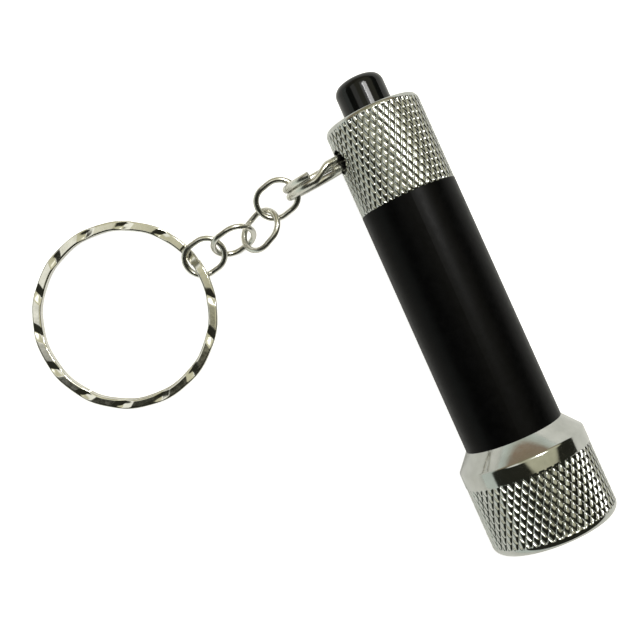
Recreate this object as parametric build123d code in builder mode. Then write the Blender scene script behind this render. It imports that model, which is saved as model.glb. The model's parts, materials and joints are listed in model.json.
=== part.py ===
from build123d import *
from math import atan2, cos, pi, radians, sin
import os

# Keychain flashlight for one AAA cell, lying on a surface, with its chain and key ring.
# The rest pose stands on the plane Z = 0. The torch lies along +X, from tail to head.
# Every turned piece is drawn as an outline of (station, radius) points: the station is
# the distance along the torch's own axis, from the flat end of the tail cap.

# ---- driving dimensions, millimetres ----
tube_radius = 7.0
tube_bore = 5.5
head_radius = 9.1
tail_cap_length = 12.8
tube_visible = 35.6
cone_length = 2.4
head_length = 14.6
rim_radius = 1.2

thread_radius = 6.5
thread_clearance = 0.08
running_clearance = 0.08
tail_thread_length = 3.7
head_thread_length = 4.0

end_wall = 1.2
cap_bore = 6.1
cap_bore_end = 8.2
tail_chamfer = (0.55, 0.28)

button_radius = 3.55
button_reach = 5.7
button_flange = 4.3
button_travel = 1.4

hole_radius = 1.8
hole_places = ((4.61, 14.9), (4.0, -28.2))

seal_thickness = 0.56
groove_radius = 5.95
groove_width = 0.8

cell_radius = 5.25
cell_length = 44.5
cell_start = 11.95

lamp_bore = 7.8
board_radius = 6.8

lanyard_radius = 4.95
lanyard_wire = 0.54
lanyard_gap = 0.06
lanyard_drop = 7.0
lanyard_yaw = 4.1
lanyard_roll = 6.4

link_wire = 0.43
link_end_radius = 2.54
link_half_straight = 0.62

key_ring_outer = 13.98
key_ring_width = 1.4
key_ring_turn = 0.9
key_ring_gap = 0.05
key_ring_slope = 0.65

# ---- stations along the torch ----
tube_start = tail_cap_length
tube_end = tube_start + tube_visible
cone_end = tube_end + cone_length
front = tube_end + head_length
tail_spigot = tube_start - tail_thread_length
head_spigot = tube_end + head_thread_length
thread_bore = thread_radius + thread_clearance

# ---- how the torch lies: on the edge of its tail cap and on the back edge of its head ----
tilt = atan2(head_radius - tube_radius, cone_end - tail_chamfer[0])
forward = Vector(cos(tilt), 0, sin(tilt))
upward = Vector(-sin(tilt), 0, cos(tilt))
tail_height = tube_radius * cos(tilt) - tail_chamfer[0] * sin(tilt)
tail_end = Vector(-28.79, 24.9, tail_height)
torch_plane = Plane(origin=tail_end, x_dir=forward, z_dir=(0, -1, 0))
torch_axis = Axis(tail_end, forward)


def turn(*outline, mode=Mode.ADD):
    """Revolves a closed outline of (station, radius) points about the torch's axis."""
    with BuildSketch(torch_plane) as profile:
        with BuildLine():
            Polyline(*outline, close=True)
        make_face()
    revolve(profile.sketch, axis=torch_axis, mode=mode)


def tube(start, end, inner, outer, mode=Mode.ADD):
    """A plain ring or disc about the torch's axis, from one station to another."""
    turn((start, inner), (end, inner), (end, outer), (start, outer), mode=mode)


def ring_section(ring_plane, radius, angle, level):
    """The plane across a ring's wire: its X points away from the ring's centre."""
    turned = radians(angle)
    outward = ring_plane.x_dir * cos(turned) + ring_plane.y_dir * sin(turned)
    along = ring_plane.y_dir * cos(turned) - ring_plane.x_dir * sin(turned)
    centre = ring_plane.origin + outward * radius + ring_plane.z_dir * level
    return Plane(origin=centre, x_dir=outward, z_dir=along)


def split_ring(ring_plane, radius, rise, step_from, step_to, open_from, open_to, draw_wire):
    """Two turns of wire, one on the other, joined by a step between two angles.

    Beside the step, each turn ends short of the other turn's wire: the upper one at
    open_from, the lower one at open_to.
    """
    axis = Axis(ring_plane.origin, ring_plane.z_dir)
    step_stations = 6
    sections = []
    for index in range(step_stations + 1):
        share = index / step_stations
        level = rise * (share * share * (3 - 2 * share) - 0.5)
        angle = step_from + (step_to - step_from) * share
        with BuildSketch(ring_section(ring_plane, radius, angle, level)) as wire_section:
            draw_wire()
        sections.append(wire_section.sketch)
    loft(sections=sections)
    turn_arc = 360 - abs(open_from - step_to)
    lower_arc = 360 - abs(open_to - step_from)
    way = 1 if step_to > step_from else -1
    revolve(sections[0], axis=axis, revolution_arc=-way * lower_arc)
    revolve(sections[-1], axis=axis, revolution_arc=way * turn_arc)


def export_piece(builder, name):
    """Labels a finished piece and writes it."""
    builder.part.label = name
    export_step(builder.part, f"parts/{name}.step")


os.makedirs("parts", exist_ok=True)

# ---- outer tube: threaded spigot at each end, with a groove for its seal ----
with BuildPart() as barrel_tube:
    turn(
        (tail_spigot, tube_bore),
        (head_spigot, tube_bore),
        (head_spigot, thread_radius),
        (tube_end, thread_radius),
        (tube_end, tube_radius),
        (tube_start, tube_radius),
        (tube_start, thread_radius),
        (tail_spigot, thread_radius),
    )
    tail_groove = tube_start - 0.5 - groove_width
    head_groove = tube_end + 0.5
    for groove in (tail_groove, head_groove):
        tube(groove, groove + groove_width, groove_radius, thread_radius + 0.1, mode=Mode.SUBTRACT)
export_piece(barrel_tube, "barrel_tube")

# ---- seals in the tube's two grooves ----
seal_plane_radius = groove_radius + 0.02 + seal_thickness / 2


def seal(groove):
    """A round rubber ring in the middle of a groove."""
    with BuildSketch(torch_plane) as profile:
        with Locations((groove + groove_width / 2, seal_plane_radius)):
            Circle(seal_thickness / 2)
    revolve(profile.sketch, axis=torch_axis)


with BuildPart() as tail_seal:
    seal(tail_groove)
export_piece(tail_seal, "tail_seal")

with BuildPart() as head_seal:
    seal(head_groove)
export_piece(head_seal, "head_seal")

# ---- tail cap: end wall with the button's hole, and two round holes for the ring ----
with BuildPart() as tail_cap:
    turn(
        (0, button_radius + running_clearance),
        (end_wall, button_radius + running_clearance),
        (end_wall, cap_bore),
        (cap_bore_end, cap_bore),
        (cap_bore_end, thread_bore),
        (tube_start, thread_bore),
        (tube_start, tube_radius),
        (tail_chamfer[0], tube_radius),
        (0, tube_radius - tail_chamfer[1]),
    )
    for station, angle in hole_places:
        sideways = Vector(0, -cos(radians(angle)), 0)
        hole_direction = sideways + upward * sin(radians(angle))
        hole_centre = tail_end + forward * station + hole_direction * (cap_bore - 1)
        with BuildSketch(Plane(origin=hole_centre, x_dir=forward, z_dir=hole_direction)):
            Circle(hole_radius)
        extrude(amount=3, mode=Mode.SUBTRACT)
export_piece(tail_cap, "tail_cap")

# ---- push button: domed plastic post with a flange that the switch housing holds ----
flange_start = 6.4
flange_end = 7.0
dome_rise = 0.9
dome_edge = 1.55
plunger_start = 3.0
plunger_radius = 1.5
with BuildPart() as button_cap:
    with BuildSketch(torch_plane):
        with BuildLine():
            Line((plunger_start - 0.1, 0), (-button_reach, 0))
            TangentArc((-button_reach, 0), (dome_rise - button_reach, button_radius), tangent=(0, 1))
            Polyline(
                (dome_rise - button_reach, button_radius),
                (flange_start, button_radius),
                (flange_start, button_flange),
                (flange_end, button_flange),
                (flange_end, plunger_radius + 0.05),
                (plunger_start - 0.1, plunger_radius + 0.05),
                (plunger_start - 0.1, 0),
            )
        make_face()
        fillet(vertices().sort_by(Axis.X)[1], radius=dome_edge)
    revolve(axis=torch_axis)
export_piece(button_cap, "button_cap")

# ---- switch: housing, plunger with its contact, return spring and fixed terminal ----
housing_start = 5.9
housing_flange = cap_bore_end + 0.05
housing_back = 10.3
cavity_start = 6.35
cavity_end = 9.65
shank_radius = 0.8
with BuildPart() as switch_housing:
    turn(
        (housing_start, button_radius + running_clearance),
        (cavity_start, button_radius + running_clearance),
        (cavity_start, 4.5),
        (cavity_end, 4.5),
        (cavity_end, shank_radius + 0.05),
        (housing_back, shank_radius + 0.05),
        (housing_back, 5.3),
        (housing_flange + 0.7, 5.3),
        (housing_flange + 0.7, 6.45),
        (housing_flange, 6.45),
        (housing_flange, cap_bore - running_clearance),
        (housing_start, cap_bore - running_clearance),
    )
export_piece(switch_housing, "switch_housing")

contact_start = 7.75
with BuildPart() as switch_plunger:
    tube(plunger_start, contact_start, 0, plunger_radius)
export_piece(switch_plunger, "switch_plunger")

with BuildPart() as switch_contact:
    tube(contact_start + 0.01, contact_start + 0.26, 0, 2.4)
export_piece(switch_contact, "switch_contact")

with BuildPart() as switch_terminal:
    turn(
        (cavity_end - 0.2, 0),
        (housing_back + 0.3, 0),
        (housing_back + 0.3, 2.2),
        (housing_back + 0.01, 2.2),
        (housing_back + 0.01, shank_radius),
        (cavity_end - 0.01, shank_radius),
        (cavity_end - 0.01, 2.0),
        (cavity_end - 0.2, 2.0),
    )
export_piece(switch_terminal, "switch_terminal")


def coil(start, end, radius, wire, turns, cone=0):
    """A wire spring about the torch's axis, between two stations."""
    height = end - start - 2 * wire
    with BuildLine():
        spring_line = Helix(
            pitch=height / turns,
            height=height,
            radius=radius,
            center=tail_end + forward * (start + wire),
            direction=forward,
            cone_angle=cone,
        )
    with BuildSketch(Plane(origin=spring_line @ 0, z_dir=spring_line % 0)) as wire_section:
        Circle(wire)
    sweep(wire_section.sketch, path=spring_line, is_frenet=True)


with BuildPart() as switch_spring:
    coil(flange_end + 0.02, cavity_end - 0.02, 3.5, 0.17, 3.5)
export_piece(switch_spring, "switch_spring")

with BuildPart() as battery_spring:
    coil(housing_back + 0.34, cell_start - 0.02, 1.6, 0.2, 2, cone=68)
export_piece(battery_spring, "battery_spring")

# ---- AAA cell: can, insulated shoulder and positive button ----
cell_end = cell_start + cell_length
nub_length = 1.0
with BuildPart() as battery_cell:
    turn(
        (cell_start, 0),
        (cell_start, cell_radius - 0.4),
        (cell_start + 0.4, cell_radius),
        (cell_end - nub_length - 0.5, cell_radius),
        (cell_end - nub_length, cell_radius - 0.5),
        (cell_end - nub_length, 1.9),
        (cell_end, 1.9),
        (cell_end, 0),
    )
export_piece(battery_cell, "battery_cell")

# ---- head: cone, band, knurled grip and rounded front rim, with a bore for the lamp ----
lip_start = front - 0.6
window_radius = 7.0
with BuildPart() as head_bezel:
    with BuildSketch(torch_plane):
        with BuildLine():
            Polyline(
                (front - rim_radius, head_radius),
                (cone_end, head_radius),
                (tube_end, tube_radius + 0.05),
                (tube_end, thread_bore),
                (head_spigot + 0.4, thread_bore),
                (head_spigot + 0.4, lamp_bore),
                (lip_start, lamp_bore),
                (lip_start, window_radius),
                (front, window_radius + 0.5),
                (front, head_radius - rim_radius),
            )
            RadiusArc(
                (front, head_radius - rim_radius),
                (front - rim_radius, head_radius),
                -rim_radius,
            )
        make_face()
    revolve(axis=torch_axis)
export_piece(head_bezel, "head_bezel")

# ---- lamp module: boards, housing, emitter, reflector, lens and gasket ----
driver_start = 57.3
led_board_start = 58.3
led_board_end = 59.1
reflector_end = 61.3
lens_end = 62.1
housing_radius = lamp_bore - running_clearance
with BuildPart() as lamp_contact:
    turn(
        (cell_end + 0.03, 0),
        (cell_end + 0.03, 1.3),
        (driver_start - 0.3, 1.6),
        (driver_start - 0.3, 2.6),
        (driver_start - 0.01, 2.6),
        (driver_start - 0.01, 0),
    )
export_piece(lamp_contact, "lamp_contact")

with BuildPart() as driver_board:
    tube(driver_start, driver_start + 0.7, 0, board_radius)
export_piece(driver_board, "driver_board")

with BuildPart() as lamp_housing:
    turn(
        (driver_start - 0.6, board_radius + 0.05),
        (driver_start + 0.72, board_radius + 0.05),
        (driver_start + 0.72, 6.0),
        (led_board_start - 0.02, 6.0),
        (led_board_start - 0.02, board_radius + 0.05),
        (reflector_end, board_radius + 0.05),
        (reflector_end, housing_radius),
        (driver_start - 0.6, housing_radius),
    )
export_piece(lamp_housing, "lamp_housing")

with BuildPart() as led_board:
    tube(led_board_start, led_board_end, 0, board_radius)
export_piece(led_board, "led_board")

emitter_side = 3.4
emitter_base = led_board_end + 0.7
with BuildPart() as led_emitter:
    base_plane = Plane(
        origin=tail_end + forward * (led_board_end + 0.01), x_dir=(0, 1, 0), z_dir=forward
    )
    with BuildSketch(base_plane):
        Rectangle(emitter_side, emitter_side)
    extrude(amount=0.69)
    with BuildSketch(torch_plane):
        with BuildLine():
            Line((emitter_base, 0), (emitter_base + 1.25, 0))
            ThreePointArc(
                (emitter_base + 1.25, 0),
                (emitter_base + 1.25 * cos(pi / 4), 1.25 * sin(pi / 4)),
                (emitter_base, 1.25),
            )
            Line((emitter_base, 1.25), (emitter_base, 0))
        make_face()
    revolve(axis=torch_axis)
export_piece(led_emitter, "led_emitter")

with BuildPart() as reflector:
    with BuildSketch(torch_plane):
        with BuildLine():
            Polyline(
                (led_board_end + 0.05, 2.6),
                (led_board_end + 0.05, 4.0),
                (reflector_end - 0.5, board_radius),
                (reflector_end, board_radius),
                (reflector_end, 6.4),
            )
            ThreePointArc((reflector_end, 6.4), (60.35, 5.0), (led_board_end + 0.05, 2.6))
        make_face()
    revolve(axis=torch_axis)
export_piece(reflector, "reflector")

with BuildPart() as lens:
    tube(reflector_end + 0.02, lens_end, 0, lamp_bore - 0.1)
export_piece(lens, "lens")

with BuildPart() as lens_gasket:
    tube(lens_end + 0.02, lip_start - 0.03, window_radius, lamp_bore - 0.1)
export_piece(lens_gasket, "lens_gasket")

# ---- small split ring through the tail cap: it stands on edge, leaning a little ----
yaw, roll, drop = radians(lanyard_yaw), radians(lanyard_roll), radians(lanyard_drop)
outward = Vector(sin(yaw) * cos(drop), -cos(yaw) * cos(drop), -sin(drop))
lean = Vector(sin(roll), 0, cos(roll))
lean = (lean - outward * lean.dot(outward)).normalized()
lanyard_across = lean.cross(outward)


def in_row(vector):
    """Turns a direction given along, beside and above the torch into the part's frame."""
    return forward * vector.X + Vector(0, vector.Y, 0) + upward * vector.Z


lanyard_centre = tail_end + in_row(Vector(4.61, -10.16, -1.19))
lanyard_plane = Plane(origin=lanyard_centre, x_dir=in_row(outward), z_dir=in_row(lanyard_across))


def lanyard_section():
    Circle(lanyard_wire)


with BuildPart() as lanyard_ring:
    split_ring(
        lanyard_plane,
        lanyard_radius,
        2 * lanyard_wire + lanyard_gap,
        step_from=-120,
        step_to=-85,
        open_from=-122,
        open_to=-83,
        draw_wire=lanyard_section,
    )
export_piece(lanyard_ring, "lanyard_ring")

# ---- chain links: each is an oval of round wire, twisted against its neighbours ----
# centre, then the long axis's heading, its slope, and the twist about it, in degrees
link_places = (
    ((-23.734, 7.977, 5.125), 102.4, 15.4, 20.5),
    ((-20.774, 3.923, 3.926), 113.6, 12.3, -32.4),
    ((-21.183, -0.397, 2.722), 99.3, 16.8, 54.0),
    ((-20.847, -5.437, 1.787), 99.7, 13.0, 17.8),
)


def link_plane(place):
    """A link's own plane: X along the oval, pointing back towards the torch."""
    centre, heading, slope, twist = place[0], *map(radians, place[1:])
    along = Vector(cos(heading) * cos(slope), sin(heading) * cos(slope), sin(slope))
    level = Vector(-sin(heading), cos(heading), 0)
    across = level * cos(twist) + along.cross(level) * sin(twist)
    return Plane(origin=centre, x_dir=along, z_dir=along.cross(across))


def oval(plane):
    """Draws a link: two half rings joined by two straight runs."""
    for side in (1, -1):
        end_centre = plane.origin + plane.x_dir * (side * link_half_straight)
        wire_centre = end_centre - plane.y_dir * (side * link_end_radius)
        end_axis = Axis(end_centre, plane.z_dir)
        run = plane.x_dir * -side
        with BuildSketch(Plane(origin=wire_centre, x_dir=plane.y_dir, z_dir=run)) as wire_section:
            Circle(link_wire)
        revolve(wire_section.sketch, axis=end_axis, revolution_arc=180)
        extrude(wire_section.sketch, amount=2 * link_half_straight)


for number, place in enumerate(link_places, start=1):
    with BuildPart() as chain_link:
        oval(link_plane(place))
    export_piece(chain_link, f"chain_link_{number}")

# ---- key ring: two flat turns, stepped where the last link passes between them ----
key_ring_radius = key_ring_outer - key_ring_width / 2
key_ring_centre = Vector(-17.93, -20.04, 1.09)
slope = radians(key_ring_slope)
key_ring_plane = Plane(
    origin=key_ring_centre, x_dir=(1, 0, 0), z_dir=(0, -sin(slope), cos(slope))
)


def key_ring_section():
    RectangleRounded(key_ring_width, key_ring_turn, 0.25)


with BuildPart() as key_ring:
    split_ring(
        key_ring_plane,
        key_ring_radius,
        key_ring_turn + key_ring_gap,
        step_from=108.7,
        step_to=94.5,
        open_from=114.6,
        open_to=89.2,
        draw_wire=key_ring_section,
    )
export_piece(key_ring, "key_ring")
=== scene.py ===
import json
import math

import bpy
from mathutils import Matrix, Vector


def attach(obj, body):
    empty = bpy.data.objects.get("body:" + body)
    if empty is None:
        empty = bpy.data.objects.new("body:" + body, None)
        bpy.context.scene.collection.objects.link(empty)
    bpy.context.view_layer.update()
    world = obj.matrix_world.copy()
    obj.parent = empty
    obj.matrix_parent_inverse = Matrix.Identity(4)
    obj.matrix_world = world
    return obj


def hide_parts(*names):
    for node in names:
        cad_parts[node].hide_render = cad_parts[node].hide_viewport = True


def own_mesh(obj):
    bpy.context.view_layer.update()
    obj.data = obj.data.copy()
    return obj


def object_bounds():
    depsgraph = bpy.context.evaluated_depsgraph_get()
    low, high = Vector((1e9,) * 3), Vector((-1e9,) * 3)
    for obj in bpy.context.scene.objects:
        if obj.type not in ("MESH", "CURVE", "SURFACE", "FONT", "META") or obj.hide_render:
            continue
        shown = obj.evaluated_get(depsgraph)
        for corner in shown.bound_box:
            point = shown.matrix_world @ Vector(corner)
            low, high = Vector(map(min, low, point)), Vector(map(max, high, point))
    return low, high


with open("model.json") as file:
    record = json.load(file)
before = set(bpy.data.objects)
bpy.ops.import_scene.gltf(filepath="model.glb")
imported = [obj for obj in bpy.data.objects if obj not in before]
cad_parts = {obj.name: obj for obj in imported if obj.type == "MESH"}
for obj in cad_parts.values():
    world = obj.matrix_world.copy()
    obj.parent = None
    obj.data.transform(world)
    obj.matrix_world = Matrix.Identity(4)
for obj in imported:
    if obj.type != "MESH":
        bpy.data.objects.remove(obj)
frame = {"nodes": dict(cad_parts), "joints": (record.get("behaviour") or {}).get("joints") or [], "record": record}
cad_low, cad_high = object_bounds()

MM = 0.001
TAU = 2 * math.pi

# ---------------------------------------------------------------- frame of the torch
# Stations run along the torch's own axis, in millimetres, from the flat end of the tail cap.
joints = {joint["name"]: joint for joint in frame["joints"]}
mounts = {mount["name"]: mount for mount in frame["record"]["mounts"]}
forward = Vector(joints["head_unscrew"]["axis"]).normalized()
TAIL_PIVOT_STATION = 6.0
tail_end = Vector(joints["tail_unscrew"]["pos_m"]) - forward * TAIL_PIVOT_STATION * MM
upward = Vector((-forward.z, 0, forward.x))
sideways = Vector((0, -1, 0))


def torch_point(station, radius, turn):
    """A point on the torch, turn being the angle from straight up towards the ring's side."""
    radial = upward * math.cos(turn) + sideways * math.sin(turn)
    return tail_end + forward * (station * MM) + radial * (radius * MM)


# ---------------------------------------------------------------- mesh helpers
def make_mesh(name, verts, faces, material, sharp_angle=40):
    """A mesh object in the row frame, smooth except along its sharp edges."""
    mesh = bpy.data.meshes.new(name)
    mesh.from_pydata([tuple(v) for v in verts], [], faces)
    mesh.validate()
    mesh.materials.append(material)
    for polygon in mesh.polygons:
        polygon.use_smooth = True
    mesh.set_sharp_from_angle(angle=math.radians(sharp_angle))
    obj = bpy.data.objects.new(name, mesh)
    bpy.context.collection.objects.link(obj)
    return obj


def smooth_step(value, low, high):
    share = min(1.0, max(0.0, (value - low) / (high - low)))
    return share * share * (3 - 2 * share)


def profile_radius(profile, station):
    """The radius of an outline of (station, radius) points at one station."""
    for (s0, r0), (s1, r1) in zip(profile, profile[1:]):
        if station <= s1:
            return r0 + (r1 - r0) * (station - s0) / (s1 - s0)
    return profile[-1][1]


# The sloping side of a diamond and the part its rounded crown plays, as shares of its half
# width and height, and the length over which the knurl fades out, in millimetres.
KNURL_SHOULDER = 0.30
KNURL_CROWN = 0.30
KNURL_FADE = 0.25


def diamond_height(across, along):
    """Height of one knurl diamond: sloping sides under a rounded crown, 0 in the grooves."""
    slope = min(1.0, (1 - max(abs(across), abs(along))) / KNURL_SHOULDER)
    crown = (1 - across * across) * (1 - along * along)
    return slope * (1 - KNURL_CROWN) + crown * KNURL_CROWN


def knurled_piece(name, material, band, rest, teeth, rows, depth, clear_from, clear_to, fine=10):
    """A closed turned piece whose outside is knurled.

    band is the outside's outline of (station, radius) points, rest is the outline of
    everything else, from the band's far end round to its near end. Every diamond is one
    tooth wide and two rows long. The knurl fades out before clear_from and after clear_to.
    """
    columns = teeth * fine
    bands = rows * fine
    start, end = band[0][0], band[-1][0]
    verts, faces = [], []
    for row in range(bands + 1):
        station = start + (end - start) * row / bands
        crest = profile_radius(band, station)
        amount = smooth_step(station, clear_from, clear_from + KNURL_FADE)
        amount *= 1 - smooth_step(station, clear_to - KNURL_FADE, clear_to)
        for column in range(columns):
            fine_column = 2 * column + row % 2
            one = (fine_column + row) / (2 * fine)
            other = (fine_column - row) / (2 * fine)
            height = diamond_height(2 * (one % 1) - 1, 2 * (other % 1) - 1)
            radius = crest - depth * amount * (1 - height)
            verts.append(torch_point(station, radius, TAU * fine_column / (2 * columns)))

    def at(row, column):
        return row * columns + column % columns

    for row in range(1, bands):
        odd = row % 2
        for column in range(columns):
            faces.append((at(row, column), at(row - 1, column + odd),
                          at(row, column + 1), at(row + 1, column + odd)))
    for column in range(columns):
        faces.append((at(0, column), at(0, column + 1), at(1, column)))
        faces.append((at(bands, column), at(bands - 1, column), at(bands, column + 1)))
    first = len(verts)
    for station, radius in rest:
        for column in range(columns):
            verts.append(torch_point(station, radius, TAU * column / columns))
    rings = [bands * columns] + [first + i * columns for i in range(len(rest))] + [0]
    for near, far in zip(rings, rings[1:]):
        for column in range(columns):
            following = (column + 1) % columns
            faces.append((near + column, near + following, far + following, far + column))
    return make_mesh(name, verts, faces, material)


def cut_round_holes(obj, holes, radius, length):
    """Cuts round holes, each given by its centre and its direction."""
    sides = 64
    for centre, direction in holes:
        across = direction.orthogonal().normalized()
        beside = direction.cross(across)
        verts = []
        for end in (-0.5, 0.5):
            for i in range(sides):
                turn = TAU * i / sides
                spoke = across * math.cos(turn) + beside * math.sin(turn)
                verts.append(centre + direction * (end * length) + spoke * radius)
        faces = [(i, (i + 1) % sides, sides + (i + 1) % sides, sides + i) for i in range(sides)]
        faces.append(tuple(reversed(range(sides))))
        faces.append(tuple(range(sides, 2 * sides)))
        cutter = make_mesh("cutter", verts, faces, obj.data.materials[0])
        cut = obj.modifiers.new("hole", "BOOLEAN")
        cut.operation = "DIFFERENCE"
        cut.solver = "EXACT"
        cut.object = cutter
        bpy.context.view_layer.update()
        evaluated = obj.evaluated_get(bpy.context.evaluated_depsgraph_get())
        mesh = bpy.data.meshes.new_from_object(evaluated)
        obj.modifiers.clear()
        obj.data = mesh
        mesh.set_sharp_from_angle(angle=math.radians(40))
        bpy.data.objects.remove(cutter)


# ---------------------------------------------------------------- materials
def new_material(name, **values):
    """A Principled material with the given values on its own sockets."""
    material = bpy.data.materials.new(name)
    material.use_nodes = True
    shader = material.node_tree.nodes["Principled BSDF"]
    for key, value in values.items():
        socket = shader.inputs[key.replace("_", " ")]
        socket.default_value = (*value, 1) if isinstance(value, tuple) else value
    return material, shader


def add_noise(material, scale, detail=4, stretch=(1, 1, 1)):
    """A noise texture in the piece's own space, scale being in features per metre."""
    nodes, links = material.node_tree.nodes, material.node_tree.links
    place = nodes.new("ShaderNodeTexCoord")
    mapping = nodes.new("ShaderNodeMapping")
    mapping.inputs["Scale"].default_value = stretch
    noise = nodes.new("ShaderNodeTexNoise")
    noise.inputs["Scale"].default_value = scale
    noise.inputs["Detail"].default_value = detail
    links.new(place.outputs["Object"], mapping.inputs["Vector"])
    links.new(mapping.outputs["Vector"], noise.inputs["Vector"])
    return noise


def ramp_between(material, noise, low, high, stops=(0.35, 0.65)):
    nodes, links = material.node_tree.nodes, material.node_tree.links
    ramp = nodes.new("ShaderNodeValToRGB")
    for element, place, colour in zip(ramp.color_ramp.elements, stops, (low, high)):
        element.position = place
        element.color = (*colour, 1)
    links.new(noise.outputs["Fac"], ramp.inputs["Fac"])
    return ramp


def vary_colour(material, shader, noise, low, high):
    ramp = ramp_between(material, noise, low, high)
    material.node_tree.links.new(ramp.outputs["Color"], shader.inputs["Base Color"])


def vary_roughness(material, shader, noise, low, high):
    ramp = ramp_between(material, noise, (low,) * 3, (high,) * 3)
    material.node_tree.links.new(ramp.outputs["Color"], shader.inputs["Roughness"])


def add_bump(material, shader, noise, height):
    """Fine relief of the given height in metres."""
    bump = material.node_tree.nodes.new("ShaderNodeBump")
    bump.inputs["Strength"].default_value = 1.0
    bump.inputs["Distance"].default_value = height
    material.node_tree.links.new(noise.outputs["Fac"], bump.inputs["Height"])
    material.node_tree.links.new(bump.outputs["Normal"], shader.inputs["Normal"])


def metal(name, dark, light, rough_low, rough_high, relief=0.0, grain=900, stretch=(1, 1, 1)):
    """A metal whose colour, roughness and fine relief all vary a little over its surface."""
    material, shader = new_material(name, Metallic=1.0)
    vary_colour(material, shader, add_noise(material, grain), dark, light)
    vary_roughness(material, shader, add_noise(material, grain * 2.7, stretch=stretch),
                   rough_low, rough_high)
    if relief:
        add_bump(material, shader, add_noise(material, grain * 6, 2, stretch), relief)
    return material


def plastic(name, dark, light, rough_low, rough_high, relief, grain, **values):
    """A plastic, rubber or paint with mottled colour, uneven gloss and fine relief."""
    material, shader = new_material(name, **values)
    vary_colour(material, shader, add_noise(material, grain), dark, light)
    vary_roughness(material, shader, add_noise(material, grain * 1.9), rough_low, rough_high)
    add_bump(material, shader, add_noise(material, grain * 5, 3), relief)
    return material


plated = metal("plated_grip", (0.50, 0.51, 0.485), (0.58, 0.59, 0.565), 0.07, 0.13, 1.5e-6, 500)
nickel = metal("wire_nickel", (0.64, 0.63, 0.57), (0.74, 0.73, 0.67), 0.20, 0.28, 3e-6, 420)
stamped_nickel = metal("stamped_nickel", (0.70, 0.69, 0.63), (0.80, 0.79, 0.73), 0.09, 0.16,
                       3e-6, 420)
wire_steel = metal("spring_steel", (0.50, 0.50, 0.49), (0.62, 0.61, 0.60), 0.20, 0.34, 3e-6, 600)
brass = metal("contact_brass", (0.66, 0.48, 0.19), (0.80, 0.62, 0.30), 0.18, 0.32, 3e-6, 500)
sink = metal("turned_aluminium", (0.60, 0.61, 0.62), (0.72, 0.73, 0.74), 0.22, 0.36, 4e-6, 500,
             (12, 1, 1))
mirror = metal("reflector_mirror", (0.86, 0.86, 0.87), (0.93, 0.93, 0.94), 0.03, 0.07, 5e-6, 260)
anodised = plastic("black_anodised", (0.0012, 0.0012, 0.0013), (0.0022, 0.0022, 0.0024),
                   0.30, 0.38, 2.5e-6, 700, Specular_IOR_Level=0.08)
button_black = plastic("button_black", (0.0030, 0.0034, 0.0033), (0.0060, 0.0066, 0.0064),
                       0.06, 0.09, 3e-6, 300, Specular_IOR_Level=0.3)
housing_black = plastic("switch_black", (0.018, 0.018, 0.020), (0.035, 0.035, 0.038),
                        0.45, 0.6, 8e-6, 400)
rubber = plastic("seal_rubber", (0.010, 0.010, 0.011), (0.022, 0.022, 0.023), 0.6, 0.8, 8e-6, 500)
board_green = plastic("board_green", (0.010, 0.075, 0.026), (0.018, 0.12, 0.042),
                      0.30, 0.45, 6e-6, 450)
cell_sleeve = plastic("cell_sleeve", (0.030, 0.085, 0.055), (0.042, 0.11, 0.072),
                      0.25, 0.36, 3e-6, 350, Coat_Weight=0.3)
phosphor = plastic("emitter_phosphor", (0.82, 0.62, 0.13), (0.93, 0.78, 0.28), 0.15, 0.3,
                   4e-6, 900, Coat_Weight=0.6)

clear, clear_shader = new_material("lens_clear", Base_Color=(0.96, 0.985, 0.98),
                                   Transmission_Weight=1.0, IOR=1.49)
vary_roughness(clear, clear_shader, add_noise(clear, 300), 0.015, 0.05)

FINISHES = {
    "plated_grip": plated, "black_tube": anodised, "button_plastic": button_black,
    "ring_steel": nickel, "spring_steel": wire_steel, "contact_brass": brass,
    "switch_plastic": housing_black, "cell_can": cell_sleeve, "board": board_green,
    "heat_sink": sink, "emitter": phosphor, "reflector_metal": mirror,
    "lens_clear": clear, "seal_rubber": rubber,
}
for part in frame["record"]["subparts"]:
    node = frame["nodes"][part["node"]]
    for index in range(len(node.data.materials)):
        node.data.materials[index] = FINISHES[part["material_slot"]]

# ---------------------------------------------------------------- knurled tail cap and head
TUBE_RADIUS = 7.0
TAIL_LENGTH = 12.8
BUTTON_HOLE = 3.63
CAP_BORE = 6.1
THREAD_BORE = 6.58

tail_band = [(0.0, 6.70), (0.12, 6.80), (0.55, 6.98), (0.75, TUBE_RADIUS),
             (12.60, TUBE_RADIUS), (TAIL_LENGTH, 6.90)]
tail_rest = [(TAIL_LENGTH, 6.86), (TAIL_LENGTH, THREAD_BORE), (8.2, THREAD_BORE),
             (8.2, CAP_BORE), (1.2, CAP_BORE), (1.2, BUTTON_HOLE), (0.15, BUTTON_HOLE),
             (0.0, BUTTON_HOLE + 0.15), (0.0, 6.60)]
tail_cap = knurled_piece("tail_cap_knurled", plated, tail_band, tail_rest, teeth=44, rows=13,
                         depth=0.18, clear_from=0.5, clear_to=13.2)

HOLE_RADIUS = 1.8
HOLE_MIDDLE = 6.5
HOLE_LENGTH = 2.8
hole_places = ((4.61, 14.9), (4.0, -28.2))
holes = []
for station, angle in hole_places:
    lean = math.radians(angle)
    direction = sideways * math.cos(lean) + upward * math.sin(lean)
    centre = tail_end + forward * (station * MM) + direction * (HOLE_MIDDLE * MM)
    holes.append((centre, direction))
cut_round_holes(tail_cap, holes, HOLE_RADIUS * MM, HOLE_LENGTH * MM)
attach(tail_cap, "tail_cap")
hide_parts("tail_cap")

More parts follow.
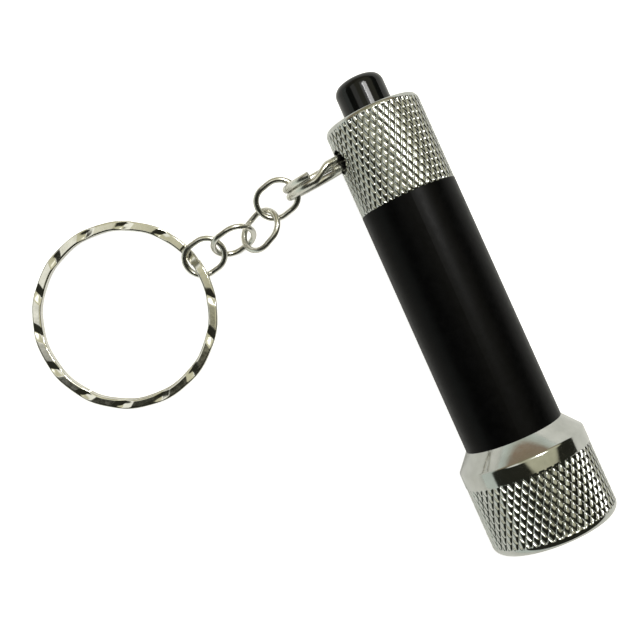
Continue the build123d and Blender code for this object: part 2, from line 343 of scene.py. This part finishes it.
TUBE_END = 48.4
CONE_END = 50.8
KNURL_START = 53.0
FRONT = 63.0
HEAD_RADIUS = 9.1
RIM_RADIUS = 1.2
LAMP_BORE = 7.8
KNURL_CREST = HEAD_RADIUS - 0.04
RIM_STEPS = 12
RIM_SHARE = 0.93
rim = []
for step in range(RIM_STEPS + 1):
    turn = math.pi / 2 * step / RIM_STEPS * RIM_SHARE
    rim.append((FRONT - RIM_RADIUS + RIM_RADIUS * math.sin(turn),
                KNURL_CREST - RIM_RADIUS + RIM_RADIUS * math.cos(turn)))
head_band = [(KNURL_START, KNURL_CREST)] + rim
head_rest = [(FRONT, 7.9), (FRONT, 7.5), (62.96, 7.42), (62.4, 7.0), (62.4, LAMP_BORE),
             (52.8, LAMP_BORE), (52.8, THREAD_BORE), (TUBE_END, THREAD_BORE),
             (TUBE_END, 6.98), (TUBE_END + 0.06, 7.06), (CONE_END - 0.14, 8.93),
             (CONE_END - 0.04, 9.03), (CONE_END + 0.08, 9.085), (CONE_END + 0.22, HEAD_RADIUS),
             (KNURL_START - 0.25, HEAD_RADIUS), (KNURL_START - 0.06, HEAD_RADIUS)]
head = knurled_piece("head_bezel_knurled", plated, head_band, head_rest, teeth=52, rows=10,
                     depth=0.20, clear_from=KNURL_START - 0.1, clear_to=61.9)
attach(head, "head")
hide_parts("head_bezel")

# ---------------------------------------------------------------- return spring
# The switch's return spring is copied from the part and moves with the switch unit.
spring_node = frame["nodes"]["switch_spring"]
spring_mesh = spring_node.data.copy()
spring_mesh.transform(spring_node.matrix_world)
spring = bpy.data.objects.new("switch_spring_coil", spring_mesh)
bpy.context.collection.objects.link(spring)
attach(spring, "switch_unit")
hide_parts("switch_spring")
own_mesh(spring)

# ---------------------------------------------------------------- stamped key ring
RING_RADIUS = 13.28
RING_WIDTH = 1.4
TURN_RISE = 0.95
TURN_THICKNESS = 0.84
EDGE_RADIUS = 0.24
RING_STEPS = 1300
STEP_FROM, STEP_TO = 108.7, 94.5
OPEN_FROM, OPEN_TO = 114.6, 89.2
CRIMPS = 14
CRIMP_DEPTH = 0.30
CRIMP_HALF_WIDTH = 1.35
CRIMP_PHASE = 1.0
CRIMP_SLANT = 0.55
CRIMP_EASE = 0.7
STEP_CLEARANCE = (9, 20)

loop = mounts["key_ring_loop"]
ring_centre = Vector(loop["pos_m"])
ring_normal = Vector(loop["axis"]).normalized()
ring_x = (Vector((1, 0, 0)) - ring_normal * ring_normal.x).normalized()
ring_y = ring_normal.cross(ring_x)


def ring_level(angle):
    """Height of the wire's middle above the ring's middle plane, and the crimps' share.

    The wire changes turns between STEP_FROM and STEP_TO, and the crimps fade out there.
    """
    level = TURN_RISE * (smooth_step(-angle, 360 - STEP_FROM, 360 - STEP_TO) - 0.5)
    place = angle % 360
    nearest = min(abs(place - STEP_FROM), abs(place - STEP_TO))
    return level, smooth_step(nearest, *STEP_CLEARANCE)


def section_points(width, thickness, corner):
    """A rectangle with rounded corners and divided flats, as (outward, up) points."""
    flat = width / 2 - corner
    points = []
    for side in (1, -1):
        for step in range(5):
            turn = math.pi / 2 * (step / 4 + (0 if side > 0 else 2))
            points.append((side * flat + corner * math.cos(turn),
                           side * (thickness / 2 - corner) + corner * math.sin(turn)))
        for step in range(1, 10):
            points.append((side * flat * (1 - step / 5), side * thickness / 2))
        for step in range(5):
            turn = math.pi / 2 * (step / 4 + (1 if side > 0 else 3))
            points.append((-side * flat + corner * math.cos(turn),
                           side * (thickness / 2 - corner) + corner * math.sin(turn)))
    return points


def stamped_ring():
    """Two turns of flat wire, pressed by slanting stamps at even steps round the ring."""
    path_start, path_end = OPEN_TO, OPEN_FROM - 720
    section = section_points(RING_WIDTH, TURN_THICKNESS, EDGE_RADIUS)
    verts, faces = [], []
    for step in range(RING_STEPS + 1):
        angle = path_start + (path_end - path_start) * step / RING_STEPS
        level, share = ring_level(angle)
        side = 1 if level > 0 else -1
        turn = math.radians(angle)
        out = ring_x * math.cos(turn) + ring_y * math.sin(turn)
        for across, up in section:
            aside = across / (RING_WIDTH / 2)
            phase = CRIMPS * math.radians(angle - CRIMP_PHASE) + CRIMP_SLANT * aside
            press = max(0, 1 - abs(math.remainder(phase, TAU)) / CRIMP_HALF_WIDTH)
            drop = CRIMP_DEPTH * share * press * (1 - CRIMP_EASE * aside * aside)
            bow = 0.04 * share * math.sin(phase) + 0.10 * side * math.sin(turn + 0.7)
            rise = level + up - (drop if up > 0 else 0)
            verts.append(ring_centre + out * ((RING_RADIUS + across + bow) * MM)
                         + ring_normal * (rise * MM))
    count = len(section)
    for step in range(RING_STEPS):
        for i in range(count):
            j = (i + 1) % count
            a, b = step * count, (step + 1) * count
            faces.append((a + i, a + j, b + j, b + i))
    faces.append(tuple(range(count)))
    faces.append(tuple(reversed(range(RING_STEPS * count, (RING_STEPS + 1) * count))))
    return make_mesh("key_ring_stamped", verts, faces, stamped_nickel, sharp_angle=50)


key_ring = stamped_ring()
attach(key_ring, "key_ring")
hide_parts("key_ring")

# ---------------------------------------------------------------- floor, light and camera
FLOOR_SIZE = 1.6
FLOOR_DROP = 0.0001
FLOOR_GLOW = 0.24
FLOOR_GLOW_SEEN = 0.68
floor_mesh = bpy.data.meshes.new("floor")
half = FLOOR_SIZE / 2
floor_mesh.from_pydata([(-half, -half, 0), (half, -half, 0), (half, half, 0), (-half, half, 0)],
                       [], [(0, 1, 2, 3)])
floor = bpy.data.objects.new("floor", floor_mesh)
bpy.context.collection.objects.link(floor)
floor_material, floor_shader = new_material("floor_white", Roughness=0.9,
                                            Specular_IOR_Level=0.1,
                                            Emission_Color=(1.0, 1.0, 0.99))
vary_colour(floor_material, floor_shader, add_noise(floor_material, 8),
            (0.80, 0.80, 0.795), (0.82, 0.82, 0.815))
# The floor glows a little, and reads as white paper where it is seen directly.
floor_nodes, floor_links = floor_material.node_tree.nodes, floor_material.node_tree.links
seen = floor_nodes.new("ShaderNodeLightPath")
glow = floor_nodes.new("ShaderNodeMath")
glow.operation = "MULTIPLY_ADD"
glow.inputs[1].default_value = FLOOR_GLOW_SEEN
glow.inputs[2].default_value = FLOOR_GLOW
floor_links.new(seen.outputs["Is Camera Ray"], glow.inputs[0])
floor_links.new(glow.outputs["Value"], floor_shader.inputs["Emission Strength"])
floor_mesh.materials.append(floor_material)
floor.location.z = -FLOOR_DROP


def add_light(name, azimuth, elevation, distance, size, power, colour):
    """A soft light aimed at the object; azimuth runs from the torch's head towards +Y."""
    data = bpy.data.lights.new(name, "AREA")
    data.shape = "RECTANGLE"
    data.size, data.size_y = size
    data.energy = power
    data.color = colour
    light = bpy.data.objects.new(name, data)
    bpy.context.collection.objects.link(light)
    turn, rise = math.radians(azimuth), math.radians(elevation)
    away = Vector((math.cos(turn) * math.cos(rise), math.sin(turn) * math.cos(rise),
                   math.sin(rise)))
    light.location = (cad_low + cad_high) / 2 + away * distance
    light.rotation_euler = away.to_track_quat("Z", "Y").to_euler()


add_light("key_light", 128, 57, 0.7, (0.22, 0.16), 1.6, (1, 0.995, 0.98))
add_light("strip_light", 122, 64, 0.7, (0.24, 0.014), 0.50, (1, 1, 1))

# The room: pale low down, dark walls that start lower towards +Y, and pale panels
# overhead, each with its direction, the cosines of its outer and inner edge, and its colour.
WALL_LEAN = 20
PANELS = (
    ((-0.42, -0.30, 0.857), 0.92, 0.95, (1.05, 1.05, 0.97)),
    ((-0.39, 0.37, 0.843), 0.74, 0.80, (0.64, 0.62, 0.45)),
    ((-0.36, 0.30, 0.883), 0.955, 0.985, (1.7, 1.7, 1.55)),
)
# The sockets of a colour mix node.
MIX_SHARE, MIX_FIRST, MIX_SECOND, MIX_RESULT = 0, 6, 7, 2
world = bpy.data.worlds.new("room")
bpy.context.scene.world = world
world.use_nodes = True
nodes, links = world.node_tree.nodes, world.node_tree.links
background = nodes["Background"]
place = nodes.new("ShaderNodeTexCoord")
split = nodes.new("ShaderNodeSeparateXYZ")
lean = nodes.new("ShaderNodeVectorRotate")
lean.rotation_type = "X_AXIS"
lean.inputs["Angle"].default_value = math.radians(WALL_LEAN)
links.new(place.outputs["Generated"], lean.inputs["Vector"])
links.new(lean.outputs["Vector"], split.inputs["Vector"])
level_split = nodes.new("ShaderNodeSeparateXYZ")
links.new(place.outputs["Generated"], level_split.inputs["Vector"])


def height_ramp(rows, height):
    """A colour ramp over the height of the direction looked in, 0 the horizon, 1 the zenith."""
    ramp = nodes.new("ShaderNodeValToRGB")
    stops = ramp.color_ramp.elements
    for _ in rows[2:]:
        stops.new(0.5)
    for stop, (position, colour) in zip(stops, rows):
        stop.position = position
        stop.color = (*colour, 1)
    links.new(height, ramp.inputs["Fac"])
    return ramp


ROOM = (
    (0.000, (0.74, 0.80, 0.74)),
    (0.018, (0.62, 0.68, 0.62)),
    (0.050, (0.030, 0.031, 0.024)),
    (1.00, (0.022, 0.022, 0.015)),
)
# Past the tail the walls are warm.
TAIL_SIDE = (
    (0.00, (0.74, 0.80, 0.74)),
    (0.08, (0.62, 0.66, 0.58)),
    (0.13, (0.34, 0.25, 0.18)),
    (0.50, (0.33, 0.32, 0.20)),
    (0.66, (0.026, 0.026, 0.018)),
)
blend = nodes.new("ShaderNodeMapRange")
blend.interpolation_type = "SMOOTHSTEP"
blend.inputs["From Min"].default_value = -0.58
blend.inputs["From Max"].default_value = -0.74
links.new(split.outputs["X"], blend.inputs["Value"])
mix = nodes.new("ShaderNodeMix")
mix.data_type = "RGBA"
links.new(blend.outputs["Result"], mix.inputs[MIX_SHARE])
room_ramp = height_ramp(ROOM, split.outputs["Z"])
tail_ramp = height_ramp(TAIL_SIDE, level_split.outputs["Z"])
links.new(room_ramp.outputs["Color"], mix.inputs[MIX_FIRST])
links.new(tail_ramp.outputs["Color"], mix.inputs[MIX_SECOND])
colour_so_far = mix.outputs[MIX_RESULT]
for direction, outer, inner, colour in PANELS:
    facing = nodes.new("ShaderNodeVectorMath")
    facing.operation = "DOT_PRODUCT"
    facing.inputs[1].default_value = direction
    links.new(place.outputs["Generated"], facing.inputs[0])
    edge = nodes.new("ShaderNodeMapRange")
    edge.interpolation_type = "SMOOTHSTEP"
    edge.inputs["From Min"].default_value = outer
    edge.inputs["From Max"].default_value = inner
    links.new(facing.outputs["Value"], edge.inputs["Value"])
    panel = nodes.new("ShaderNodeMix")
    panel.data_type = "RGBA"
    panel.inputs[MIX_SECOND].default_value = (*colour, 1)
    links.new(edge.outputs["Result"], panel.inputs[MIX_SHARE])
    links.new(colour_so_far, panel.inputs[MIX_FIRST])
    colour_so_far = panel.outputs[MIX_RESULT]
# Seen directly, the room is white like the floor.
direct = nodes.new("ShaderNodeLightPath")
white = nodes.new("ShaderNodeMix")
white.data_type = "RGBA"
white.inputs[MIX_SECOND].default_value = (1, 1, 1, 1)
links.new(direct.outputs["Is Camera Ray"], white.inputs[MIX_SHARE])
links.new(colour_so_far, white.inputs[MIX_FIRST])
links.new(white.outputs[MIX_RESULT], background.inputs["Color"])
background.inputs["Strength"].default_value = 1.0
bpy.context.scene.view_settings.view_transform = "Standard"

camera_data = bpy.data.cameras.new("camera")
camera_data.lens = 51.66
camera_data.sensor_width = 36.0
camera_data.clip_start = 0.01
camera_data.clip_end = 10
camera = bpy.data.objects.new("camera", camera_data)
bpy.context.collection.objects.link(camera)
camera.location = Vector((-8.016, 14.527, 136.644)) * MM
camera.rotation_euler = [math.radians(angle) for angle in (-2.4339, 2.7126, 65.8916)]
bpy.context.scene.camera = camera
